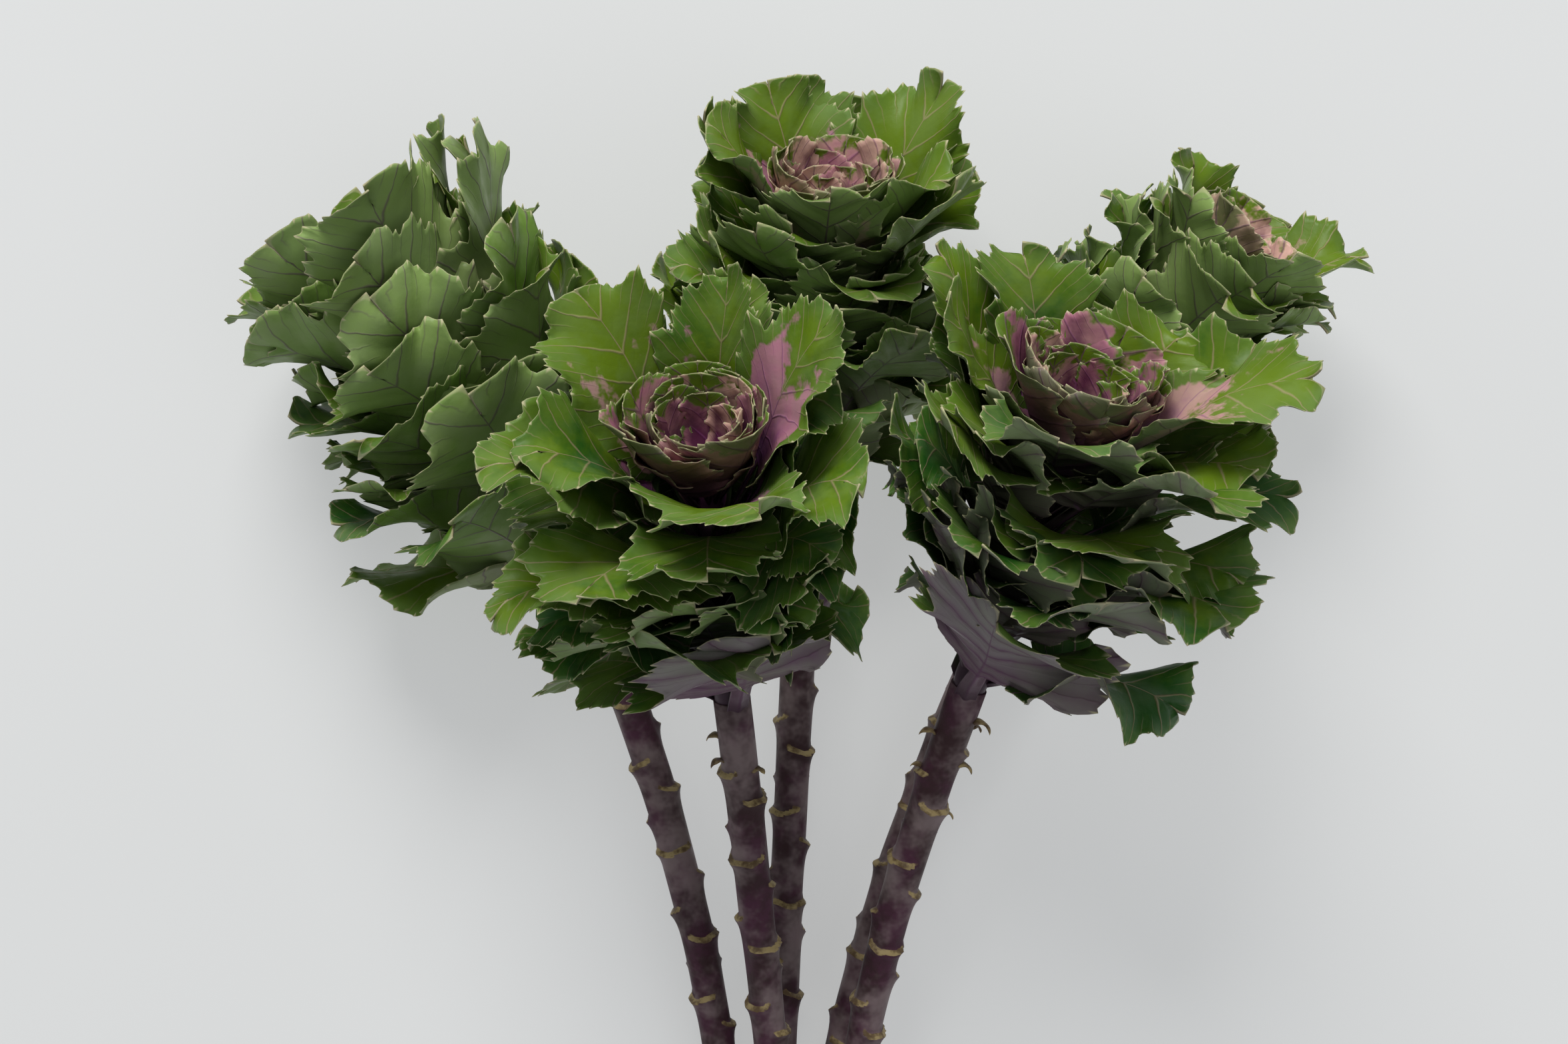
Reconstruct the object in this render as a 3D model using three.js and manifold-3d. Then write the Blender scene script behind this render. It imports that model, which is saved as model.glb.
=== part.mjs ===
// A bunch of five cut ornamental kales, laid down on a flat surface.
// Each plant is a scarred stem, a rosette of green leaves and a heart of purple leaves.
// Millimetres, +Z up. The stems run along Y and the heads lie towards +Y.
// Three plants lie on the surface, and two lie on top of them with their rosettes turned upwards.
import * as THREE from "three";
import { mergeVertices } from "three/addons/utils/BufferGeometryUtils.js";
import Module from "manifold-3d";

const wasm = await Module();
wasm.setup();

// Driving dimensions
const stemRadius = 6.1; // between the leaf scars, at the cut end
const neckRadius = 7.2; // where the head begins
const tipRadius = 4.2; // of the core, at the top of the head
const scarPitch = 12.5; // one leaf scar to the next along the stem
const scarLip = 1.1; // how far a scar stands out
const scarRise = 2.2; // length of the step above a scar's lip
const scarSpread = 0.4; // how far past half way round a scar reaches, as a cosine
const firstScar = 6; // from the cut end
const stemSides = 6;
const coreSides = 7;
const jointGap = 0.35; // between stem, leaves and heart, which meet end to end
const greenCount = 24; // green leaves in one head
const heartCount = 8; // leaves in its heart
const goldenAngle = 137.508; // degrees from one leaf to the next
const lowestLeaf = 4; // above the neck
const greenTop = 0.64; // where the last green leaf springs, as a share of the head's length
const greenAge = 0.7; // of the heart's first leaf, where the lowest leaf has 0 and the innermost 1
const heartRise = 11.5; // from the last green leaf to the first of the heart
const heartPitch = 2; // one leaf of the heart to the next along the axis
const partingRise = 8.5; // from the last green leaf to the end of the core that it grows on
const cupLean = 34; // degrees, of the cup between the green leaves and the heart, in an open head
const cupGap = 3.2; // from that cup to the leaves on each side of it
const cupStep = 1.8; // one leaf to the next, away from that cup
const coreTop = 5; // from the last leaf to the end of the core
const bladeThickness = 1.3; // between the midrib and the edge, which is sharp
const rootSwell = 1.3; // a leaf's root against its midrib
const ribTaper = 0.4; // what a midrib loses by its end
const tightestRoll = 11; // radius to which a leaf is rolled near its root
const clearance = 1.0; // from a leaf to the plane between two heads
const floorCut = 0.7; // of a leaf's thickness, where it is pressed flat on the surface that it lies on
const floorFlat = 9; // how much of what would reach below that surface is pressed flat on it
const profileSteps = 10; // of a leaf's curve from root to tip
const spineSteps = 80;

// What differs between the green leaves and those of the heart.
// ribAt and webAt are shares of the blade's length.
const greenLeaf = {
  thickness: 2.2, // of the midrib
  rootDepth: 3.2, // how far the root is sunk into the core
  teeth: 7,
  toothDepth: 0.13,
  ripples: 4.4,
  ribAt: [0, 0.45, 0.9],
  webAt: [0.33, 0.7],
};
const heartLeaf = {
  thickness: 1,
  rootDepth: 2,
  teeth: 4,
  toothDepth: 0.1,
  ripples: 3,
  ribAt: [0, 0.45, 0.9],
  webAt: [],
};
const webAcross = 0.58; // from the midrib to the edge
const stalkWidths = [8.5, 4.5]; // of the lowest leaf and of the innermost
// Of one leaf from the next: shares of its size, waves and slope, and degrees.
const leafVariety = { length: 0.1, width: 0.1, wave: 0.3, tilt: 0.1, lean: 6, curl: 9, turn: 9 };

const middle = [6.6, -81.5]; // of the whole bunch, in the coordinates of the plants below

// The plants. Each spine is a cubic curve from the cut end to the top of the heart.
// head is the length of the head along it, and turn the direction of the lowest leaf, in degrees.
// size scales the leaves, open their lean, and under flattens the side that the head lies on.
// An apron is a lowest leaf that hangs flat in front of the stem, and lifts the leaves above it.
const plants = [
  {
    name: "upper_left",
    spine: [[3, -331, 18.6], [-1, -212, 37], [-25, -38, 80], [-30, 30, 147]],
    head: 124,
    size: 1.15,
    open: 1.0,
    apron: true,
    turn: 72,
    under: 0.95,
    seed: 1,
  },
  {
    name: "upper_right",
    spine: [[28, -328, 6], [5, -205, 41], [89, -24, 86], [111, 51, 146]],
    head: 144,
    size: 1.12,
    open: 1.0,
    apron: true,
    turn: 95,
    under: 0.92,
    seed: 2,
  },
  {
    name: "lower_left",
    spine: [[-20, -322, 5.7], [-14, -195, 20], [-66, -14, 41.5], [-142, 80, 61.5]],
    head: 140,
    size: 1.2,
    open: 0.64,
    apron: false,
    turn: 200,
    under: 0.8,
    seed: 3,
  },
  {
    name: "lower_middle",
    spine: [[-4.5, -336, 5.4], [-3, -200, 19], [10, 48, 10], [17, 118, 64]],
    head: 120,
    size: 0.98,
    open: 0.7,
    apron: false,
    turn: 310,
    under: 0.8,
    seed: 4,
  },
  {
    name: "lower_right",
    spine: [[10.8, -318, 5.4], [6, -195, 16], [100, 14, 9.5], [164, 91, 52.5]],
    head: 104,
    size: 0.86,
    open: 0.62,
    apron: false,
    turn: 50,
    under: 0.82,
    seed: 5,
  },
];

// How a head's leaves change from the lowest (at 0) to the innermost (at 1).
// lean and curl are degrees from the head's axis, at the root and added by the tip.
const leafStages = [
  { at: 0.0, length: 76, width: 68, lean: 66, curl: 58, wave: 4.5, stalk: 0.24 },
  { at: 0.1, length: 80, width: 68, lean: 60, curl: 56, wave: 4.5, stalk: 0.24 },
  { at: 0.25, length: 86, width: 64, lean: 50, curl: 50, wave: 4.5, stalk: 0.26 },
  { at: 0.4, length: 92, width: 60, lean: 41, curl: 42, wave: 4.0, stalk: 0.28 },
  { at: 0.55, length: 106, width: 60, lean: 34, curl: 34, wave: 3.5, stalk: 0.28 },
  { at: 0.69, length: 106, width: 58, lean: 29, curl: 30, wave: 3.0, stalk: 0.26 },
  { at: 0.7, length: 58, width: 46, lean: 32, curl: -4, wave: 1.2, stalk: 0.24 },
  { at: 0.8, length: 50, width: 40, lean: 34, curl: -16, wave: 1.0, stalk: 0.2 },
  { at: 0.9, length: 40, width: 32, lean: 36, curl: -34, wave: 0.8, stalk: 0.18 },
  { at: 1.0, length: 28, width: 22, lean: 40, curl: -56, wave: 0.5, stalk: 0.14 },
];
const apronLeaf = { length: 70, width: 84, lean: 34, curl: 26 };
const liftedLeaf = { lean: 36, curl: 28 }; // of the leaves that the apron lifts
const liftedUntil = [0.2, 0.45]; // the ages between which leaves are lifted less and less
const liftedRound = 0.6; // cosine of the angle from the apron within which a leaf is lifted in full

// Where two heads press on each other, the plane between them stands at this share of the way.
const pressed = [
  { pair: ["upper_left", "upper_right"], share: 0.5 },
  { pair: ["upper_left", "lower_left"], share: 0.49 },
  { pair: ["upper_left", "lower_middle"], share: 0.53 },
  { pair: ["upper_right", "lower_middle"], share: 0.53 },
  { pair: ["upper_right", "lower_right"], share: 0.55 },
  { pair: ["lower_left", "lower_middle"], share: 0.53 },
  { pair: ["lower_middle", "lower_right"], share: 0.52 },
];
const headMiddle = 0.55; // of a head's length, where the heads are measured from
const pressBand = 42; // how deep in a head its leaves give way
const stiffReach = 8; // from the head's axis, where a leaf doesn't give way yet
const freeReach = 24; // from the head's axis, where it gives way in full
const bendRounds = 2; // over all the planes
const stemsTop = 61; // the upper heads stay above the lower plants' stems

const radians = THREE.MathUtils.degToRad;
const mix = THREE.MathUtils.lerp;
const clamp = THREE.MathUtils.clamp;
const smoothstep = THREE.MathUtils.smoothstep;

// A repeatable number from -1 to 1 for a leaf or a scar.
function jitter(seed, index, kind) {
  const wave = Math.sin(seed * 12.9898 + index * 78.233 + kind * 37.719) * 43758.5453;
  return 2 * (wave - Math.floor(wave)) - 1;
}

// The height above the neck at which a leaf springs from the core. Leaf 0 is the lowest.
function leafHeight(plant, index) {
  if (index < greenCount) return mix(lowestLeaf, plant.head * greenTop, index / (greenCount - 1));
  return plant.head * greenTop + heartRise + heartPitch * (index - greenCount);
}

// A leaf's age runs from 0 for the lowest to 1 for the innermost.
function leafAge(index) {
  if (index < greenCount) return (greenAge * index) / greenCount;
  return mix(greenAge, 1, (index - greenCount) / (heartCount - 1));
}

function stageAt(at) {
  const next = Math.max(1, leafStages.findIndex((stage) => stage.at >= at));
  const low = leafStages[next - 1];
  const high = leafStages[next];
  const share = (at - low.at) / (high.at - low.at);
  return Object.fromEntries(Object.keys(low).map((key) => [key, mix(low[key], high[key], share)]));
}

// The spine as a table of lengths, so that a place on it is found by its distance from the cut end.
function makeSpine(plant) {
  const corners = plant.spine.map(([x, y, z]) => new THREE.Vector3(x - middle[0], y - middle[1], z));
  const curve = new THREE.CubicBezierCurve3(...corners);
  const points = curve.getPoints(spineSteps);
  const lengths = [0];
  for (let i = 1; i < points.length; i++) lengths.push(lengths[i - 1] + points[i].distanceTo(points[i - 1]));
  const total = lengths[spineSteps];
  return { curve, lengths, total, neck: total - plant.head };
}

// The spine's point, tangent, side and back at a distance from the cut end.
// It runs on straight past both ends.
function frameAt(spine, distance) {
  const inside = clamp(distance, 0, spine.total);
  let step = spine.lengths.findIndex((length) => length >= inside);
  step = Math.max(step, 1);
  const share = (inside - spine.lengths[step - 1]) / (spine.lengths[step] - spine.lengths[step - 1]);
  const at = (step - 1 + share) / spineSteps;
  const tangent = spine.curve.getTangent(at);
  const point = spine.curve.getPoint(at).addScaledVector(tangent, distance - inside);
  const side = new THREE.Vector3().crossVectors(tangent, new THREE.Vector3(0, 0, 1)).normalize();
  const back = new THREE.Vector3().crossVectors(side, tangent);
  return { point, tangent, side, back };
}

// A point of the head, by its distance from the axis, its angle round it and its height above the neck.
function inHead(plant, radius, angle, height) {
  const { point, side, back } = frameAt(plant.path, plant.path.neck + height);
  const up = radius * Math.sin(angle);
  return point
    .clone()
    .addScaledVector(side, radius * Math.cos(angle))
    .addScaledVector(back, up < 0 ? up * plant.under : up);
}

for (const plant of plants) {
  plant.path = makeSpine(plant);
  plant.parting = plant.head * greenTop + partingRise;
  plant.centre = frameAt(plant.path, plant.path.neck + plant.head * headMiddle).point;
}

// The planes that a plant's leaves are bent clear of, each with its normal pointing away from the plant.
function planesOf(plant) {
  const planes = [];
  for (const { pair, share } of pressed) {
    if (!pair.includes(plant.name)) continue;
    const [first, second] = pair.map((name) => plants.find((other) => other.name === name));
    const way = second.centre.clone().sub(first.centre);
    const point = first.centre.clone().addScaledVector(way, share);
    const normal = way.normalize();
    if (plant === second) normal.negate();
    planes.push({ point, normal, gap: clearance, flat: 0, slide: new THREE.Vector3() });
  }
  const down = new THREE.Vector3(0, 0, -1);
  const slide = frameAt(plant.path, plant.path.total).tangent.setZ(0).normalize();
  const upper = plant.name.startsWith("upper");
  const [height, gap, flat] = upper ? [stemsTop, 0, 0] : [0, -floorCut, floorFlat];
  planes.push({ point: new THREE.Vector3(0, 0, height), normal: down, gap, flat, slide });
  return planes;
}

// The blade's outline. A power of the cosine rounds it, and its veins leave the midrib closer below.
const outline = { widest: 0.58, lowerRound: 0.75, upperRound: 0.5, ribEnd: 0.92, ribCrowding: 1.8 };

// A point of the flat leaf. along runs from 0 at the root to 1 at the tip.
// across runs from 0 on the midrib to 1 or -1 on the edge.
function leafPoint(leaf, along, across) {
  const { length, stalk } = leaf;
  const stalkHalf = leaf.stalkWidth / 2;
  const side = Math.abs(across);
  if (along <= stalk) return [across * stalkHalf, along * length];
  const share = (along - stalk) / (1 - stalk);
  const turn = Math.PI * (share - 0.5);
  const widest = mix(stalk, 1, outline.widest);
  const reach = share < 0.5 ? widest - stalk : 1 - widest;
  const roundness = share < 0.5 ? outline.lowerRound : outline.upperRound;
  const half = (leaf.width / 2) * Math.max(0, Math.cos(turn)) ** roundness;
  const ribY = length * mix(stalk, outline.ribEnd, share ** outline.ribCrowding);
  const edgeX = share < 0.5 ? Math.max(stalkHalf, half) : half;
  const edgeY = length * (widest + reach * Math.sin(turn));
  const tooth = -leaf.toothDepth * Math.cos(Math.PI * share * leaf.teeth) * Math.sin(Math.PI * share) ** 0.5;
  const out = side * (1 + tooth * side);
  return [Math.sign(across) * edgeX * out, mix(ribY, edgeY, out)];
}

// The heart stands in a cup that the green leaves stay outside of.
function keepToCup(leaf, radius, height) {
  const { parting, head, open } = leaf.plant;
  if (height < parting) return radius;
  const slope = Math.tan(radians(cupLean * open));
  const cup = mix(neckRadius, tipRadius, parting / head) + (height - parting) * slope;
  if (leaf.heart) return Math.min(radius, cup - cupGap - cupStep * (leaf.index - greenCount));
  return Math.max(radius, cup + cupGap + cupStep * (greenCount - 1 - leaf.index));
}

// The waves grow from the midrib to the edge, and set in above the stalk.
const waveShape = { sharpness: 1.5, onset: 4 };

// The leaf's middle surface, on a cup round the head's axis, with its edge in waves.
function leafSurface(leaf, along, across) {
  const [x, y] = leafPoint(leaf, along, across);
  let radius = leaf.rootRadius;
  let height = leaf.height;
  let angle = 0;
  for (let i = 0; i < profileSteps; i++) {
    const share = ((y / leaf.length) * (i + 0.5)) / profileSteps;
    angle = radians(leaf.lean + leaf.curl * share * share);
    radius += (Math.sin(angle) * y) / profileSteps;
    height += (Math.cos(angle) * y) / profileSteps;
  }
  const ripple = Math.sin(Math.sign(across) * leaf.ripples * Math.PI * (1 - along) + leaf.phase);
  const blade = clamp((along - leaf.stalk) * waveShape.onset, 0, 1);
  const offset = leaf.wave * Math.abs(across) ** waveShape.sharpness * blade * ripple;
  const rise = height + Math.sin(angle) * offset + leaf.tilt * x * blade;
  radius -= Math.cos(angle) * offset;
  const turn = mix(x / Math.max(radius, tightestRoll), Math.atan2(x, radius), leaf.flat);
  const reach = keepToCup(leaf, mix(radius, Math.hypot(x, radius), leaf.flat), rise);
  return { reach, point: inHead(leaf.plant, reach, leaf.angle + turn, rise) };
}

function makeLeaf(plant, index) {
  const at = leafAge(index);
  const apron = plant.apron && index === 0;
  const stage = { ...stageAt(at), ...(apron ? apronLeaf : {}) };
  const heart = index >= greenCount;
  const kind = heart ? heartLeaf : greenLeaf;
  const vary = (which) => (apron ? 0 : jitter(plant.seed, index, which));
  let lift = 0;
  if (plant.apron && !apron) {
    const near = smoothstep(Math.cos(radians(index * goldenAngle)), 0, liftedRound);
    lift = near * (1 - smoothstep(at, ...liftedUntil));
    for (const key of Object.keys(liftedLeaf)) stage[key] = mix(stage[key], liftedLeaf[key], lift);
  }
  return {
    plant,
    index,
    heart,
    height: leafHeight(plant, index),
    rootRadius: mix(neckRadius, tipRadius, at) - kind.rootDepth,
    length: stage.length * plant.size * (1 + leafVariety.length * vary(1)) + kind.rootDepth,
    width: stage.width * plant.size * (1 + leafVariety.width * vary(2)),
    lean: (stage.lean + leafVariety.lean * vary(3) * (1 - at)) * plant.open,
    curl: (stage.curl + leafVariety.curl * vary(10) * (1 - at)) * plant.open,
    flat: apron ? 1 : lift,
    tilt: leafVariety.tilt * vary(9),
    wave: stage.wave * (1 + leafVariety.wave * vary(4)),
    phase: Math.PI * vary(5),
    angle: radians(plant.turn + index * goldenAngle + leafVariety.turn * vary(6)),
    stalk: stage.stalk,
    stalkWidth: mix(...stalkWidths, at),
    ...kind,
  };
}

// Joins two chains of [along, vertex] with triangles.
function zip(first, second) {
  const triangles = [];
  let a = 0;
  let b = 0;
  while (a < first.length - 1 || b < second.length - 1) {
    const moveFirst =
      b === second.length - 1 ||
      (a < first.length - 1 && first[a + 1][0] + first[a][0] <= second[b + 1][0] + second[b][0]);
    const corners = [first[a][1], moveFirst ? first[a + 1][1] : second[b + 1][1], second[b][1]];
    if (new Set(corners).size === 3) triangles.push(corners);
    if (moveFirst) a += 1;
    else b += 1;
  }
  return triangles;
}

// One leaf as a net of triangles on its middle surface. halves holds half the thickness at each point.
function leafNet(leaf) {
  const points = [];
  const reaches = [];
  const halves = [];
  const triangles = [];
  const place = (along, across, half) => {
    const { point, reach } = leafSurface(leaf, along, across);
    points.push(point);
    reaches.push(reach);
    halves.push(half);
    return [along, points.length - 1];
  };
  const thick = leaf.thickness / 2;
  const along = (share) => mix(leaf.stalk, 1, share);
  const rib = [place(0, 0, thick * rootSwell)];
  for (const share of leaf.ribAt) rib.push(place(along(share), 0, thick * (1 - ribTaper * share)));
  const tip = place(1, 1, 0);
  for (const hand of [-1, 1]) {
    const edge = [place(0, hand, 0), place(leaf.stalk, hand, 0)];
    for (let i = 1; i < leaf.teeth; i++) edge.push(place(along(i / leaf.teeth), hand, 0));
    edge.push(tip);
    const web = leaf.webAt.map((share) => place(along(share), hand * webAcross, bladeThickness / 2));
    const inner = web.length ? [rib[0], rib[1], ...web, rib.at(-1)] : rib;
    const found = zip(edge, inner);
    if (web.length) found.push(...zip(inner.slice(1), rib.slice(1)));
    for (const [p, q, r] of found) triangles.push(hand < 0 ? [p, q, r] : [p, r, q]);
  }
  return { points, reaches, halves, triangles };
}

// Bends a head's leaves clear of a plane, by drawing together all that lies near it or beyond.
// The roots stay where they are, on the core.
function bendClear(nets, plane) {
  let over = -Infinity;
  const depthOf = (point) => plane.normal.dot(point.clone().sub(plane.point));
  for (const { points, halves } of nets) {
    points.forEach((point, i) => (over = Math.max(over, depthOf(point) + halves[i])));
  }
  if (over < -plane.gap) return;
  const draw = (pressBand - plane.gap) / (pressBand + Math.max(over - plane.flat, -plane.gap));
  for (const { points, reaches, halves } of nets) {
    points.forEach((point, i) => {
      const depth = depthOf(point) + pressBand;
      const give = smoothstep(reaches[i], stiffReach, freeReach);
      if (depth > 0) point.addScaledVector(plane.normal, depth * (draw - 1) * give);
      const beyond = depthOf(point) + halves[i] + plane.gap;
      if (beyond > 0) point.addScaledVector(plane.normal, -beyond).addScaledVector(plane.slide, beyond);
    });
  }
}

// A mesh of plain vertices and faces as a solid, with its open end closed and its faces pointing out.
function solidFrom(vertices, faces) {
  const next = new Map();
  const edges = new Set(faces.flatMap(([p, q, r]) => [`${p} ${q}`, `${q} ${r}`, `${r} ${p}`]));
  for (const edge of edges) {
    const [from, to] = edge.split(" ").map(Number);
    if (!edges.has(`${to} ${from}`)) next.set(to, from);
  }
  const closed = [...faces];
  if (next.size) {
    const [start] = next.keys();
    for (let at = next.get(start); next.get(at) !== start; at = next.get(at)) {
      closed.push([start, at, next.get(at)]);
    }
  }
  let volume = 0;
  for (const [p, q, r] of closed) volume += vertices[p].dot(vertices[q].clone().cross(vertices[r]));
  const out = volume > 0 ? closed : closed.map(([p, q, r]) => [p, r, q]);
  return new wasm.Manifold(
    new wasm.Mesh({
      numProp: 3,
      vertProperties: new Float32Array(vertices.flatMap((vertex) => vertex.toArray())),
      triVerts: new Uint32Array(out.flat()),
    }),
  );
}

// The leaf's two faces have the same triangles and meet at its sharp edge.
function leafSolid({ points, halves, triangles }) {
  const normals = points.map(() => new THREE.Vector3());
  for (const [p, q, r] of triangles) {
    const along = points[q].clone().sub(points[p]);
    const face = along.cross(points[r].clone().sub(points[p]));
    for (const corner of [p, q, r]) normals[corner].add(face);
  }
  const vertices = [];
  const upper = [];
  const lower = [];
  points.forEach((point, i) => {
    const shift = normals[i].normalize().multiplyScalar(halves[i]);
    upper.push(vertices.push(point.clone().add(shift)) - 1);
    lower.push(halves[i] ? vertices.push(point.clone().sub(shift)) - 1 : upper[i]);
  });
  const faces = triangles.flatMap(([p, q, r]) => [
    [upper[p], upper[q], upper[r]],
    [lower[p], lower[r], lower[q]],
  ]);
  return solidFrom(vertices, faces);
}

// A round bar, as a closed geometry whose vertices are then put on the plant.
function barSolid(sides, heights, radiusAt, put) {
  const bar = new THREE.CylinderGeometry(1, 1, 1, sides, heights.length - 1);
  bar.deleteAttribute("normal");
  bar.deleteAttribute("uv");
  const merged = mergeVertices(bar);
  const places = merged.getAttribute("position");
  const vertices = [];
  for (let i = 0; i < places.count; i++) {
    const spot = new THREE.Vector3().fromBufferAttribute(places, i);
    const height = heights[Math.round((spot.y + 0.5) * (heights.length - 1))];
    const angle = Math.atan2(spot.z, spot.x);
    const share = Math.hypot(spot.x, spot.z);
    vertices.push(put(share * radiusAt(height, angle), angle, height));
  }
  const faces = [];
  const index = merged.index.array;
  for (let i = 0; i < index.length; i += 3) faces.push([index[i], index[i + 1], index[i + 2]]);
  return solidFrom(vertices, faces);
}

function coreSolid(plant, from, to) {
  const heights = [from, mix(from, to, 0.5), to];
  const radiusAt = (height) => mix(neckRadius, tipRadius, height / plant.head);
  const put = (radius, angle, height) => inHead(plant, radius, angle, height);
  return barSolid(coreSides, heights, radiusAt, put);
}

// The bare stem, stepped by a lip at each leaf scar, which reaches about half way round.
function stemSolid(plant) {
  const length = plant.path.neck - jointGap;
  const scars = Math.floor((length - firstScar) / scarPitch);
  const lips = Array.from({ length: scars }, (_, scar) => firstScar + scar * scarPitch);
  const heights = [0, ...lips.flatMap((lip) => [lip, lip + scarRise]), length];
  const radiusAt = (height, angle) => {
    const plain = mix(stemRadius, neckRadius, height / length);
    const scar = lips.indexOf(height);
    if (scar < 0) return plain;
    const turn = angle - radians(plant.turn + scar * goldenAngle);
    return plain + scarLip * clamp(scarSpread + Math.cos(turn), 0, 1);
  };
  const put = (radius, angle, height) => {
    const { point, side, back } = frameAt(plant.path, height);
    point.addScaledVector(side, radius * Math.cos(angle));
    return point.addScaledVector(back, radius * Math.sin(angle));
  };
  return barSolid(stemSides, heights, radiusAt, put);
}

const slabWidth = 2000; // wider than the bunch
const slabDepth = 50;

// Cuts off the little that reaches below the surface that the bunch lies on, which leaves flat spots.
function trimToFloor(solid) {
  const slab = new THREE.BoxGeometry(slabWidth, slabWidth, slabDepth).translate(0, 0, -slabDepth / 2);
  slab.deleteAttribute("normal");
  slab.deleteAttribute("uv");
  const merged = mergeVertices(slab);
  const below = new wasm.Manifold(
    new wasm.Mesh({
      numProp: 3,
      vertProperties: merged.getAttribute("position").array,
      triVerts: new Uint32Array(merged.index.array),
    }),
  );
  return solid.subtract(below);
}

// Joins solids that hold together, and drops any loose scrap that crossing leaves cut off.
function fuse(solids) {
  const bodies = wasm.Manifold.union(solids).decompose();
  bodies.sort((a, b) => b.volume() - a.volume());
  return bodies[0];
}

function meshOf(name, solid, material) {
  const { numProp, vertProperties, triVerts } = solid.getMesh();
  const geometry = new THREE.BufferGeometry();
  const places = new Float32Array((vertProperties.length / numProp) * 3);
  for (let i = 0; i < places.length / 3; i++) {
    places.set(vertProperties.subarray(i * numProp, i * numProp + 3), i * 3);
  }
  geometry.setAttribute("position", new THREE.BufferAttribute(places, 3));
  geometry.setIndex(new THREE.BufferAttribute(triVerts, 1));
  geometry.computeVertexNormals();
  const mesh = new THREE.Mesh(geometry, material);
  mesh.name = name;
  return mesh;
}

const stemMaterial = new THREE.MeshStandardMaterial({ color: 0x4a2f45, roughness: 0.55, metalness: 0 });
const leafMaterial = new THREE.MeshStandardMaterial({ color: 0x3f6b2c, roughness: 0.6, metalness: 0 });
const heartMaterial = new THREE.MeshStandardMaterial({ color: 0x9c5a8c, roughness: 0.6, metalness: 0 });

function addPlant(bunch, plant) {
  const leaves = Array.from({ length: greenCount + heartCount }, (_, index) => makeLeaf(plant, index));
  const nets = leaves.map(leafNet);
  for (let round = 0; round < bendRounds; round++) {
    for (const plane of planesOf(plant)) bendClear(nets, plane);
  }
  const solids = nets.map(leafSolid);
  const green = fuse([coreSolid(plant, 0, plant.parting), ...solids.slice(0, greenCount)]);
  const coreEnd = leaves.at(-1).height + coreTop;
  const heart = fuse([coreSolid(plant, plant.parting + jointGap, coreEnd), ...solids.slice(greenCount)]);
  bunch.add(meshOf(`stem_${plant.name}`, trimToFloor(stemSolid(plant)), stemMaterial));
  bunch.add(meshOf(`leaves_${plant.name}`, trimToFloor(green), leafMaterial));
  bunch.add(meshOf(`heart_${plant.name}`, heart, heartMaterial));
}

const bunch = new THREE.Group();
for (const plant of plants) addPlant(bunch, plant);

export default bunch;
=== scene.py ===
# A bunch of five cut ornamental kales, laid down on a pale surface and seen from above.
import bpy
import math
import numpy as np
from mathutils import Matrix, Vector


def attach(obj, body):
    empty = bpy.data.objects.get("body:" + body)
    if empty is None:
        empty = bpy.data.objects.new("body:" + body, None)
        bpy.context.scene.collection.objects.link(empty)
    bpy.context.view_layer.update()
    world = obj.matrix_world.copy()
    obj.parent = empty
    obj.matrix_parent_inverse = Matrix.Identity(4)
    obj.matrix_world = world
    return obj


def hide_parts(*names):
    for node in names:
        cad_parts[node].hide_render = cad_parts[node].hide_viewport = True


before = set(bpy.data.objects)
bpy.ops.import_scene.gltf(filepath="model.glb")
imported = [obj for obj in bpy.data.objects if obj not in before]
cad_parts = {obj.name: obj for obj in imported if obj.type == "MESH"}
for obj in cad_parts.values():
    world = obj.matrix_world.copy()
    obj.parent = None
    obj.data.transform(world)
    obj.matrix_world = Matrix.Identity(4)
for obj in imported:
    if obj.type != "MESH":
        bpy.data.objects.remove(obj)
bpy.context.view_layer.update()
print("frame loaded:", len(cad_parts), "nodes")

mm = 0.001
goldenAngle = math.radians(137.508)

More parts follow.
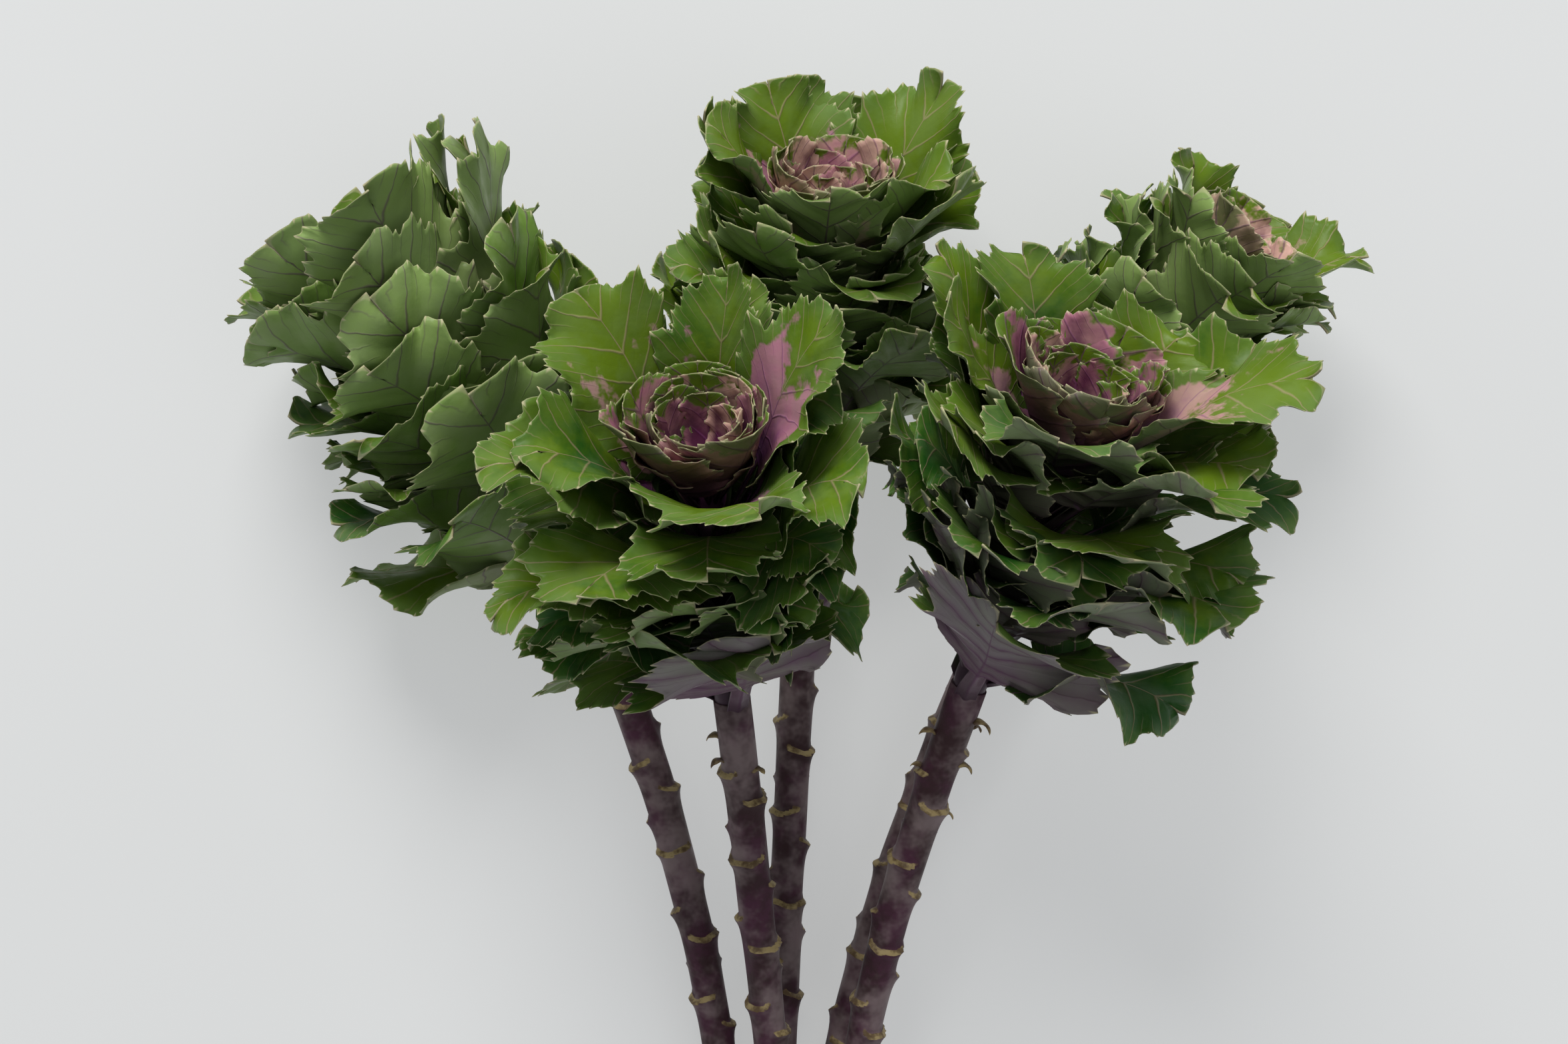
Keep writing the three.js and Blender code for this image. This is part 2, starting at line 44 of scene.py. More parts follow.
# The bunch, in millimetres, as the frame's solids are laid out.
# spine: the four corners of a plant's curve, from its cut end to the top of its heart
# head: the rosette's length on the spine. open: how far its leaves lean out. turn: where its leaves start
# under: how far it is pressed in below. apron: the leaf that hangs in front of the stem
# dusk: how grey its leaves are below. blush: how far the pink reaches. fresh: how light its greens are,
# partly their own paler green and partly painted light where their leaves are lit through
bunch = {
    "middle": (6.6, -81.5),     # of the five plants' box, which the frame has at its origin
    "plants": {
        "upper_left": {
            "spine": [(3, -331, 18.6), (-1, -212, 37), (-25, -38, 80), (-30, 30, 147)],
            "head": 124, "size": 1.15, "open": 1.0, "turn": 72, "under": 0.95, "seed": 1,
            "apron": 0, "dusk": 0.3, "blush": 0.05, "fresh": 0, "heartLength": 1,
        },
        "upper_right": {
            "spine": [(28, -328, 6), (5, -205, 41), (89, -24, 86), (111, 51, 146)],
            "head": 144, "size": 1.12, "open": 1.0, "turn": 95, "under": 0.92, "seed": 2,
            "apron": 0, "dusk": 0.8, "blush": 0.05, "fresh": -0.05, "heartLength": 1,
        },
        "lower_left": {
            "spine": [(-20, -322, 5.7), (-14, -195, 20), (-66, -14, 41.5), (-142, 80, 61.5)],
            "head": 140, "size": 1.2, "open": 0.64, "turn": 200, "under": 0.8, "seed": 3,
            "apron": None, "dusk": 0.04, "blush": 0.04, "fresh": 0.4, "heartLength": 1.1,
        },
        "lower_middle": {
            "spine": [(-4.5, -336, 5.4), (-3, -200, 19), (10, 48, 10), (17, 118, 64)],
            "head": 120, "size": 0.98, "open": 0.7, "turn": 310, "under": 0.8, "seed": 4,
            "apron": None, "dusk": 0.1, "blush": 0.05, "fresh": 0.35, "heartLength": 1.25,
        },
        "lower_right": {
            "spine": [(10.8, -318, 5.4), (6, -195, 16), (100, 14, 9.5), (164, 91, 52.5)],
            "head": 104, "size": 0.86, "open": 0.62, "turn": 50, "under": 0.82, "seed": 5,
            "apron": None, "dusk": 0.05, "blush": 0, "fresh": 0.75, "heartLength": 1.35,
        },
    },
    # where two heads press on each other, the plane between them stands at this share of the way
    "pressed": [
        ("upper_left", "upper_right", 0.5),
        ("upper_left", "lower_left", 0.49),
        ("upper_left", "lower_middle", 0.53),
        ("upper_right", "lower_middle", 0.53),
        ("upper_right", "lower_right", 0.55),
        ("lower_left", "lower_middle", 0.53),
        ("lower_middle", "lower_right", 0.52),
    ],
    "pressBand": 42,      # how deep in a head its leaves give way
    "stiffReach": 8,      # nearer the axis than this a leaf doesn't give way
    "freeReach": 24,      # further out than this it gives way in full
    "stemsTop": 61,       # the upper heads stay above the lower stems
    "clearance": 0.6,     # between two heads, on each side of their plane
    "surfaceGap": 0.5,    # between a head and what it lies on
    "surfaceFlat": 9,     # what is pressed flat on the surface below
    "presses": 2,         # times that the leaves are drawn clear of every plane
    "headMiddle": 0.55,   # of a head's length, where heads are measured from
}

# How a head's leaves change from the lowest (at 0) to the innermost (at 1).
# Each row: at, length, width, lean, curl, wave, stalk
head = {
    "greenCount": 24,     # leaves of the frame's heads, which have others between them here
    "heartCount": 8,
    "heartSteps": 3,      # leaves here for each heart leaf of the frame
    "betweenFrom": 5,     # the first of the leaves with another between it and the next
    "betweenSize": 0.9,   # the leaves between are a little smaller
    "lowestLeaf": 4,      # above the neck
    "greenTop": 0.64,     # the last green leaf's height, as a share of the head's
    "greenAge": 0.7,
    "heartRise": 11.5,    # from the last green leaf to the first heart leaf
    "heartPitch": 2,      # from one heart leaf of the frame to the next
    "partingRise": 8.5,   # from the last green leaf to where the heart's piece starts
    "neckRadius": 7.2,
    "tipRadius": 4.2,
    "stalkWidth": (8.5, 4.5),     # of the lowest and the innermost leaf
    "cupLean": 34,        # of the cup that the heart's leaves stay inside and the green ones outside
    "cupGap": 1.6,
    "cupStep": 1.8,       # one leaf to the next, away from the cup
    "tightestRoll": 11,   # the smallest radius that a leaf rolls round
    "faceTarget": 60,     # a leaf's upper side faces the axis this far above its foot
    "variety": {
        "length": 0.1, "width": 0.1, "lean": 6, "curl": 9, "wave": 0.3,
        "turn": 9, "tilt": 0.1, "quilt": 0.6, "tint": 0.5,
    },
    "apron": {"length": 70, "width": 84, "lean": 34, "curl": 26},
    "apronQuilt": 2.4,
    "lifted": {"lean": 36, "curl": 28, "until": (0.45, 0.2)},     # the leaves above the apron
    "stages": [
        (0.0, 76, 68, 66, 58, 8.5, 0.24),
        (0.1, 80, 68, 60, 56, 9.5, 0.24),
        (0.25, 86, 64, 50, 50, 9.0, 0.26),
        (0.4, 92, 60, 41, 42, 7.5, 0.28),
        (0.55, 106, 60, 34, 34, 5.5, 0.28),
        (0.69, 106, 58, 29, 30, 4.5, 0.26),
        (0.7, 58, 46, 32, -4, 1.8, 0.24),
        (0.8, 50, 40, 34, -16, 1.5, 0.2),
        (0.9, 40, 32, 36, -34, 1.2, 0.18),
        (1.0, 28, 22, 40, -56, 0.8, 0.14),
    ],
}

# across: the columns of a leaf's net. Those past fineFrom follow every tooth, the others every third row.
# lobes, frets and teeth are a half's waves of outline, and each depth is a share of its width.
# ripples and frills are waves along the edge, and quilt is how hollow the blade is between veins.
greenLeaf = {
    "rootDepth": 3.2,
    "rows": 88, "stalkRows": 5, "across": (0, 0.13, 0.3, 0.5, 0.68, 0.82, 0.93, 1), "fineFrom": 6,
    "lobes": 7, "lobeDepth": 0.09, "frets": 7, "fretDepth": 0.085, "teeth": 22, "toothDepth": 0.13,
    "ripples": 4.4, "frill": 3.6, "frills": 8,
    "blade": 0.3, "rib": 1.5, "ribWidth": 2.4, "quilt": 1.0,
}
heartLeaf = {
    "rootDepth": 2,
    "rows": 45, "stalkRows": 3, "across": (0, 0.15, 0.38, 0.62, 0.88, 1), "fineFrom": 4,
    "lobes": 4, "lobeDepth": 0.07, "frets": 5, "fretDepth": 0.04, "teeth": 15, "toothDepth": 0.09,
    "ripples": 3, "frill": 1.3, "frills": 9,
    "blade": 0.28, "rib": 0.9, "ribWidth": 1.6, "quilt": 0.3,
}
leafForm = {
    "widest": 0.58,             # where the blade is widest, from its stalk
    "fullness": (0.75, 0.5),    # powers of the outline below and above the widest place: less is fuller
    "ribEnd": 0.92,             # where the last veins leave the midrib
    "ribPace": 1.8,             # how the veins' feet close up toward the stalk
    "toothTip": 0.3,            # where a tooth's tip stands between its two notches
    "toothRoot": 0.4,           # the share of a tooth that is cut into the outline
    "rowShift": 0.012,          # how unevenly the rows lie along the blade
    "slopeSteps": 100,
    "fineFrill": 1.9,           # a second frill has this many waves to one of the first
}


def jitter(seed, index, kind):
    # a repeatable number from -1 to 1
    wave = math.sin(seed * 12.9898 + index * 78.233 + kind * 37.719) * 43758.5453
    return 2 * (wave - math.floor(wave)) - 1


def smooth(low, high, value):
    share = np.clip((value - low) / (high - low), 0, 1)
    return share * share * (3 - 2 * share)


def unit(vectors):
    return vectors / np.maximum(np.linalg.norm(vectors, axis=-1, keepdims=True), 1e-9)


class Spine:
    # a plant's curve from its cut end to the top of its heart, as a table by length
    def __init__(self, plant):
        corners = np.array(plant["spine"], float) - np.array([*bunch["middle"], 0])
        t = np.linspace(0, 1, 401)[:, None]
        a, b, c, d = corners
        self.points = (1 - t) ** 3 * a + 3 * (1 - t) ** 2 * t * b + 3 * (1 - t) * t ** 2 * c + t ** 3 * d
        self.tangents = unit((1 - t) ** 2 * (b - a) + 2 * (1 - t) * t * (c - b) + t ** 2 * (d - c))
        steps = np.linalg.norm(np.diff(self.points, axis=0), axis=1)
        self.lengths = np.concatenate([[0], np.cumsum(steps)])
        self.total = self.lengths[-1]
        self.neck = self.total - plant["head"]

    def frameAt(self, distance):
        distance = np.asarray(distance, float)
        inside = np.clip(distance, 0, self.total)
        pick = lambda table: np.stack([np.interp(inside, self.lengths, table[:, k]) for k in range(3)], -1)
        tangent = unit(pick(self.tangents))
        point = pick(self.points) + tangent * (distance - inside)[..., None]
        side = unit(np.cross(tangent, (0, 0, 1)))
        return point, tangent, side, np.cross(side, tangent)


def inHead(plant, radius, angle, height):
    point, tangent, side, back = plant["path"].frameAt(plant["path"].neck + height)
    up = radius * np.sin(angle)
    up = np.where(up < 0, up * plant["under"], up)
    return point + side * (radius * np.cos(angle))[..., None] + back * up[..., None]


def leafHeight(plant, index):
    top = plant["head"] * head["greenTop"]
    if index < head["greenCount"]:
        return head["lowestLeaf"] + (top - head["lowestLeaf"]) * index / (head["greenCount"] - 1)
    return top + head["heartRise"] + head["heartPitch"] * (index - head["greenCount"])


def leafAge(index):
    # 0 for the lowest leaf, 1 for the innermost
    green, age = head["greenCount"], head["greenAge"]
    if index < green:
        return age * index / green
    return age + (1 - age) * (index - green) / (head["heartCount"] - 1)


def makeLeaf(plant, index, inner=False):
    at = leafAge(index)
    look = heartLeaf if inner else greenLeaf
    table = np.array(head["stages"])
    keys = ("length", "width", "lean", "curl", "wave", "stalk")
    stage = {key: np.interp(at, table[:, 0], table[:, k + 1]) for k, key in enumerate(keys)}
    apron = index == plant["apron"]        # the leaf that hangs in front of the stem
    if apron:
        stage.update(head["apron"])
    variety = head["variety"]
    vary = lambda kind: 0 if apron else jitter(plant["seed"], index, kind)
    lift = 0
    if plant["apron"] is not None and not apron:
        lift = smooth(0, 0.6, math.cos(index * goldenAngle)) * smooth(*head["lifted"]["until"], at)
        for key in ("lean", "curl"):
            stage[key] += lift * (head["lifted"][key] - stage[key])
    size = plant["size"] * (head["betweenSize"] if index % 1 else 1)
    longer = plant["heartLength"] if inner else 1
    thick, thin = head["stalkWidth"]
    return {
        "plant": plant, "index": index, "at": at, "heart": inner, "look": look,
        "height": leafHeight(plant, index),
        "rootRadius": head["neckRadius"] + at * (head["tipRadius"] - head["neckRadius"]) - look["rootDepth"],
        "length": size * longer * stage["length"] * (1 + variety["length"] * vary(1)) + look["rootDepth"],
        "width": size * stage["width"] * (1 + variety["width"] * vary(2)),
        "lean": (stage["lean"] + variety["lean"] * vary(3) * (1 - at)) * plant["open"],
        "curl": (stage["curl"] + variety["curl"] * vary(10) * (1 - at)) * plant["open"],
        "flat": 1 if apron else lift,
        "quilt": look["quilt"] * (head["apronQuilt"] if apron else 1 + variety["quilt"] * vary(11)),
        "wave": stage["wave"] * (1 + variety["wave"] * vary(4)),
        "phase": math.pi * vary(5),
        "frillPhase": math.pi * vary(8),
        "angle": math.radians(plant["turn"] + variety["turn"] * vary(6)) + index * goldenAngle,
        "tilt": variety["tilt"] * vary(9),
        "stalk": stage["stalk"],
        "stalkWidth": thick + at * (thin - thick),
        # a plant's fresh lightens its greens: partly their own paler tone, partly painted light shining
        # through the leaves
        "tint": 0.5 + variety["tint"] * vary(7) + plant["fresh"],
        "dusk": 1 if apron else plant["dusk"] * (1 - 0.8 * at),
    }


def leafPoint(leaf, along, across):
    # a point of the flat leaf: lines of one value of along are its veins
    look, stalk, length = leaf["look"], leaf["stalk"], leaf["length"]
    side = np.abs(across)
    hand = np.sign(across)
    share = np.clip((along - stalk) / (1 - stalk), 0, 1)
    turn = math.pi * (share - 0.5)
    widest = stalk + leafForm["widest"] * (1 - stalk)
    reach = np.where(share < 0.5, widest - stalk, 1 - widest)
    half = leaf["width"] / 2 * np.cos(turn).clip(0) ** np.where(share < 0.5, *leafForm["fullness"])
    ribY = length * (stalk + (leafForm["ribEnd"] - stalk) * share ** leafForm["ribPace"])
    edgeX = np.where(share < 0.5, np.maximum(leaf["stalkWidth"] / 2, half), half)
    edgeY = length * (widest + reach * np.sin(turn))
    swell = np.sin(math.pi * share).clip(0)
    lobe = -look["lobeDepth"] * np.cos(math.pi * share * look["lobes"]) * swell ** 0.5
    fret = -look["fretDepth"] * np.cos(2 * math.pi * share * look["frets"]) * np.minimum(1, 2 * swell)
    beat, tip = leaf["beat"], leafForm["toothTip"]
    rest = beat - np.floor(beat + 0.01)
    cut = np.where(rest < tip, 1 - rest / tip, (rest - tip) / (1 - tip))     # teeth point to the leaf's tip
    uneven = 0.7 + 0.3 * np.sin(2.3 * np.round(beat) + leaf["frillPhase"] + 2 * hand)
    tooth = look["toothDepth"] * (cut - leafForm["toothRoot"]) * uneven * np.minimum(1, 3 * swell + 0.25)
    out = side * (1 + lobe * side + fret * side ** 3 + tooth * side ** 5)
    onStalk = along <= stalk
    x = np.where(onStalk, across * leaf["stalkWidth"] / 2, hand * edgeX * out)
    y = np.where(onStalk, along * length, ribY + (edgeY - ribY) * out)
    return x, y, np.where(onStalk, leaf["stalkWidth"] / 2, edgeX), np.where(onStalk, 0, cut * side ** 4)


def leafSurface(leaf, along, across):
    # the leaf bent and waved in its place on the head, and each point's distance from the head's axis
    look = leaf["look"]
    x, y, leaf["half"], leaf["tooth"] = leafPoint(leaf, along, across)
    steps = np.linspace(0, leaf["length"] * 1.3, leafForm["slopeSteps"])
    slope = np.radians(leaf["lean"] + leaf["curl"] * (steps / leaf["length"]) ** 2)
    middles = (slope[1:] + slope[:-1]) / 2
    rise = np.concatenate([[0], np.cumsum(np.cos(middles) * np.diff(steps))])
    spread = np.concatenate([[0], np.cumsum(np.sin(middles) * np.diff(steps))])
    angle = np.interp(y, steps, slope)
    radius = leaf["rootRadius"] + np.interp(y, steps, spread)
    height = leaf["height"] + np.interp(y, steps, rise)
    side, hand = np.abs(across), np.sign(across)
    blade = np.clip((along - leaf["stalk"]) * 4, 0, 1)
    ripple = np.sin(hand * look["ripples"] * math.pi * (1 - along) + leaf["phase"])
    frill = np.sin(look["frills"] * math.pi * along + leaf["frillPhase"] + 1.9 * hand)
    frill += 0.4 * np.sin(leafForm["fineFrill"] * look["frills"] * math.pi * along + leaf["phase"] - hand)
    share = np.clip((along - leaf["stalk"]) / (1 - leaf["stalk"]), 0, 1)
    quilt = np.abs(np.sin(math.pi * share * look["frets"])) * np.sin(math.pi * side.clip(0, 1)) ** 0.5
    offset = leaf["wave"] * side ** 1.5 * ripple + look["frill"] * side ** 3 * frill - leaf["quilt"] * quilt
    offset = offset * blade
    height = height + np.sin(angle) * offset + leaf["tilt"] * x * blade
    radius = radius - np.cos(angle) * offset
    rolled = x / np.maximum(radius, head["tightestRoll"])
    turn = leaf["angle"] + rolled + leaf["flat"] * (np.arctan2(x, radius) - rolled)
    radius = radius + leaf["flat"] * (np.hypot(x, radius) - radius)
    radius = keepToCup(leaf, radius, height)
    return inHead(leaf["plant"], radius, turn, height), radius


def keepToCup(leaf, radius, height):
    # the radius kept to the leaf's own side of the cup, above where the heart's piece starts
    plant = leaf["plant"]
    parting = plant["parting"]
    start = head["neckRadius"] + (head["tipRadius"] - head["neckRadius"]) * parting / plant["head"]
    cup = start + (height - parting) * math.tan(math.radians(head["cupLean"] * plant["open"]))
    inner = np.minimum(radius, cup - head["cupGap"] - head["cupStep"] * (leaf["index"] - head["greenCount"]))
    steps = head["greenCount"] - 1 - leaf["index"]
    outer = np.maximum(radius, cup + head["cupGap"] + head["cupStep"] * steps)
    return np.where(height < parting, radius, inner if leaf["heart"] else outer)


def planesOf(name, plant):
    # the planes that a head stays behind: one towards each neighbour, and what it lies on
    planes = []
    for first, second, share in bunch["pressed"]:
        if name not in (first, second):
            continue
        start, end = (bunch["plants"][each]["centre"] for each in (first, second))
        normal = unit(end - start) * (1 if name == first else -1)
        planes.append({"point": start + share * (end - start), "normal": normal,
                       "gap": bunch["clearance"], "flat": 0, "slide": np.zeros(3)})
    tangent = plant["path"].frameAt(plant["path"].total)[1]
    slide = unit(tangent * (1, 1, 0))
    low = bunch["stemsTop"] if name.startswith("upper") else 0
    planes.append({"point": np.array([0, 0, low]), "normal": np.array([0, 0, -1.0]),
                   "gap": bunch["surfaceGap"], "flat": 0 if low else bunch["surfaceFlat"], "slide": slide})
    return planes


def bendClear(leaves, plane):
    # draws a head's leaves together where they come near a plane or pass it, and the roots stay
    depthOf = lambda points: (points - plane["point"]) @ plane["normal"]
    over = max(depthOf(leaf["points"]).max() for leaf in leaves)
    if over < -plane["gap"]:
        return
    deep = bunch["pressBand"]
    draw = (deep - plane["gap"]) / (deep + max(over - plane["flat"], -plane["gap"]))
    for leaf in leaves:
        depth = depthOf(leaf["points"]) + deep
        give = smooth(bunch["stiffReach"], bunch["freeReach"], leaf["reach"])
        move = np.where(depth > 0, depth * (draw - 1) * give, 0)
        points = leaf["points"] + move[..., None] * plane["normal"]
        beyond = (depthOf(points) + plane["gap"]).clip(0)[..., None]
        leaf["points"] = points - beyond * plane["normal"] + beyond * plane["slide"]


def leafGrid(leaf):
    # the net of points of a leaf, with its rows close together on the blade
    look = leaf["look"]
    share = np.linspace(0, 1, look["rows"] + 1)
    uneven = leafForm["rowShift"] * np.sin(4 * math.pi * share + leaf["phase"]) * np.sin(math.pi * share)
    ladder = np.concatenate([
        np.linspace(0, leaf["stalk"], look["stalkRows"], endpoint=False),
        leaf["stalk"] + (1 - leaf["stalk"]) * (share + uneven),
    ])
    half = np.array(look["across"], float)
    rungs = np.concatenate([-half[:0:-1], half])
    leaf["along"], leaf["across"] = np.meshgrid(ladder, rungs, indexing="ij")
    beat = np.concatenate([np.zeros(look["stalkRows"]), share * look["teeth"]])
    leaf["beat"] = np.repeat(beat[:, None], len(rungs), axis=1)
    leaf["points"], leaf["reach"] = leafSurface(leaf, leaf["along"], leaf["across"])


def strip(left, right):
    # triangles between two columns of a net with the same rows
    return [np.stack([left[:-1], left[1:], right[1:]], -1), np.stack([left[:-1], right[1:], right[:-1]], -1)]


def joiningStrip(fine, coarse):
    # triangles between a column with every row and one with every third row
    a, b, c, d = fine[:-1:3], fine[1::3], fine[2::3], fine[3::3]
    low, high = coarse[:-1], coarse[1:]
    corners = (a, b, low), (b, c, low), (c, high, low), (c, d, high)
    return [np.stack(three, -1) for three in corners]


def netFaces(look, columns):
    # triangles of one face of a leaf: every row along the toothed edge, every third row inside
    rows = look["stalkRows"] + look["rows"] + 1
    number = np.arange(rows * columns).reshape(rows, columns)
    middle = columns // 2
    found = []
    for column in range(columns - 1):
        left, right = number[:, column], number[:, column + 1]
        outer = max(abs(column - middle), abs(column + 1 - middle))
        if outer > look["fineFrom"]:
            found += strip(left, right)
        elif outer < look["fineFrom"]:
            found += strip(left[::3], right[::3])
        elif column < middle:
            found += joiningStrip(left, right[::3])
        else:
            found += [faces[:, ::-1] for faces in joiningStrip(right, left[::3])]
    return number, np.concatenate(found)


def leafShell(leaf):
    # the leaf's two faces, a blade's thickness apart, with the midrib standing out below
    look = leaf["look"]
    points, along, across = leaf["points"], leaf["along"], leaf["across"]
    normal = unit(np.cross(np.gradient(points, axis=0), np.gradient(points, axis=1)))
    normal = np.nan_to_num(normal)
    x = across * leaf["half"]
    fade = 1 - 0.75 * along
    ridge = look["rib"] * fade * np.exp(-(x / (look["ribWidth"] * fade)) ** 2)
    edge = 1 - 0.6 * np.abs(across) ** 6
    outward = leaf["outward"]
    upper = points + normal * outward * (look["blade"] * edge + 0.15 * ridge)[..., None]
    lower = points - normal * outward * (look["blade"] * edge + ridge)[..., None]
    rows, columns = along.shape
    number, net = netFaces(look, columns)
    count = rows * columns
    rim = np.concatenate([number[:, 0], number[-1, 1:], number[-2::-1, -1], number[0, -2:0:-1]])
    after = np.roll(rim, -1)
    sides = np.concatenate([
        np.stack([rim, after, after + count], -1),
        np.stack([rim, after + count, rim + count], -1),
    ])
    if outward < 0:
        faces = np.concatenate([net, net[:, ::-1] + count, sides[:, ::-1]])
    else:
        faces = np.concatenate([net[:, ::-1], net + count, sides])
    vertices = np.concatenate([upper.reshape(-1, 3), lower.reshape(-1, 3)])
    values = {
        "along": np.tile(along.ravel(), 2),
        "across": np.tile(across.ravel(), 2),
        "half": np.tile(leaf["half"].ravel(), 2),
        "tooth": np.tile(leaf["tooth"].ravel(), 2),
        "face": np.repeat([1.0, 0.0], count),
        "age": np.full(2 * count, leaf["at"] + leaf["plant"]["blush"]),
        "tint": np.full(2 * count, leaf["tint"]),
        "dusk": np.full(2 * count, leaf["dusk"]),
        "core": np.tile(smooth(0.22, 0.08, along).ravel(), 2),
    }
    used, order = np.unique(faces, return_inverse=True)
    return vertices[used], order.reshape(faces.shape), {key: value[used] for key, value in values.items()}


def buildMesh(name, parts):
    mesh = bpy.data.meshes.new(name)
    vertices = np.concatenate([part[0] for part in parts]) * mm
    starts = np.cumsum([0] + [len(part[0]) for part in parts])
    faces = np.concatenate([part[1] + start for part, start in zip(parts, starts)])
    mesh.vertices.add(len(vertices))
    mesh.vertices.foreach_set("co", vertices.ravel())
    mesh.loops.add(faces.size)
    mesh.loops.foreach_set("vertex_index", faces.ravel())
    mesh.polygons.add(len(faces))
    mesh.polygons.foreach_set("loop_start", np.arange(0, faces.size, 3))
    mesh.update(calc_edges=True)
    mesh.shade_smooth()
    for key in parts[0][2]:
        attribute = mesh.attributes.new(key, "FLOAT", "POINT")
        values = np.concatenate([part[2][key] for part in parts])
        attribute.data.foreach_set("value", values.astype(np.float32))
    mesh.validate()
    piece = bpy.data.objects.new(name, mesh)
    bpy.context.scene.collection.objects.link(piece)
    return piece


def prepare():
    for plant in bunch["plants"].values():
        plant["path"] = Spine(plant)
        plant["parting"] = plant["head"] * head["greenTop"] + head["partingRise"]
        middle = plant["path"].neck + plant["head"] * bunch["headMiddle"]
        plant["centre"] = plant["path"].frameAt(middle)[0]


def buildHead(name, plant):
    count, steps = head["greenCount"], head["heartSteps"]
    green = [float(i) for i in range(count)] + [i + 0.5 for i in range(head["betweenFrom"], count - 1)]
    heart = [count + i / steps for i in range(steps * (head["heartCount"] - 1) + 1)]
    leaves = [makeLeaf(plant, index) for index in green]
    leaves += [makeLeaf(plant, index, inner=True) for index in heart]
    for leaf in leaves:
        leafGrid(leaf)
        points = leaf["points"]
        row, column = np.array(points.shape[:2]) // 2
        middle = points[row, column]
        normal = np.cross(points[row + 1, column] - middle, points[row, column + 1] - middle)
        point, tangent = plant["path"].frameAt(plant["path"].neck + leaf["height"])[:2]
        inward = point + tangent * head["faceTarget"] - middle
        leaf["outward"] = 1 if normal @ inward > 0 else -1
    for _ in range(bunch["presses"]):
        for plane in planesOf(name, plant):
            bendClear(leaves, plane)
    for inner, kind, slot in ((False, "leaves", "leaf"), (True, "heart", "heart")):
        parts = [leafShell(leaf) for leaf in leaves if leaf["heart"] == inner]
        parts.append(coreShell(plant, inner))
        piece = buildMesh(f"{kind}_of_{name}", parts)
        piece.data.materials.append(materials[slot])
        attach(piece, "root")
        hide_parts(f"{kind}_{name}")


core = {
    "rings": 24, "sides": 20,
    "aboveLeaves": 5,     # from the innermost leaf to the core's end
    "gap": 0.35,          # between the rosette's part and the heart's
    "inStem": 0.5,        # how far it is sunk in the stem's end
    "point": 0.05,        # the radius of a closed end
}


def coreShell(plant, inner):
    # the stem's last stretch, which the leaves spring from
    top = leafHeight(plant, head["greenCount"] + head["heartCount"] - 1) + core["aboveLeaves"]
    low, high = (plant["parting"] + core["gap"], top) if inner else (0, plant["parting"])
    heights = np.concatenate([[low], np.linspace(low, high, core["rings"]), [high]])
    radii = head["neckRadius"] + (head["tipRadius"] - head["neckRadius"]) * heights / plant["head"]
    radii -= core["inStem"] * smooth(stem["intoHead"] + 4, stem["intoHead"], heights)
    radii[[0, -1]] = core["point"]
    turns = np.linspace(0, 2 * math.pi, core["sides"], endpoint=False)
    height, turn = np.meshgrid(heights, turns, indexing="ij")
    points = inHead(plant, np.repeat(radii[:, None], len(turns), 1), turn, height)
    values = {"along": 0.1, "across": 0.1, "half": 4, "tooth": 0, "face": 0, "tint": 0.5, "dusk": 0}
    values.update({"core": 1, "age": 0.95 if inner else 0.3})
    return tubeFaces(points, values)


def tubeFaces(points, values):
    # the faces of a tube of rings of points, and its values at every point
    rows, columns = points.shape[:2]
    number = np.arange(rows * columns).reshape(rows, columns)
    after = np.roll(number, -1, axis=1)
    faces = np.concatenate([
        np.stack([number[:-1], number[1:], after[1:]], -1).reshape(-1, 3),
        np.stack([number[:-1], after[1:], after[:-1]], -1).reshape(-1, 3),
    ])
    spread = lambda value: np.broadcast_to(np.asarray(value, float), (rows, columns)).ravel()
    return points.reshape(-1, 3), faces, {key: spread(value) for key, value in values.items()}


stem = {
    "radius": 6.1,
    "pitch": 12.5,           # from one leaf scar to the next
    "first": 6,
    "lip": 2.3,              # how far a scar stands out
    "rise": 2.2,             # of the step above its lip
    "swell": 3.2,            # how slowly the bark rises to a lip from below
    "spread": 1.25,          # how far round a scar reaches to each side, in radians
    "sag": 2.4,              # of a scar's middle below its horns
    "wobble": 0.35,
    "intoHead": 9,           # how far the stem runs on among the lowest leaves' stalks
    "sides": 28,
    "foot": (0.0, 0.25, 2.5, 4.5),       # of the first rings
    "steps": (0.25, 0.5, 0.75, 1, 2.4, 4.4, 7, 9.2, 10.6, 11.7),   # of the rings after a lip
    "cutRings": ((0.02, 1), (0.45, 1), (0.9, 0.6)),     # each: share of the radius, and how pale
    "cutHollow": 0.7,
    "ripples": ((0.12, 3, 17), (0.1, 7, -9)),           # each: height, waves round, run along
}


# Withered leaf stalks that still hang on below the heads.
# Each: millimetres below the neck, degrees round the stem, millimetres long
stubs = {
    "upper_left": [(9, 200, 9), (17, 160, 8), (22, 25, 6)],
    "upper_right": [(5, 10, 11), (9, -30, 9), (14, 165, 9), (24, 5, 9), (30, 190, 7), (46, -10, 8)],
    "lower_right": [(16, 170, 9), (30, 185, 7)],
}
stubForm = {
    "rings": 12, "sides": 8, "sunk": 1.5, "half": 2.8, "flatness": 0.35, "point": 0.05, "bend": (0.9, -1.3),
}


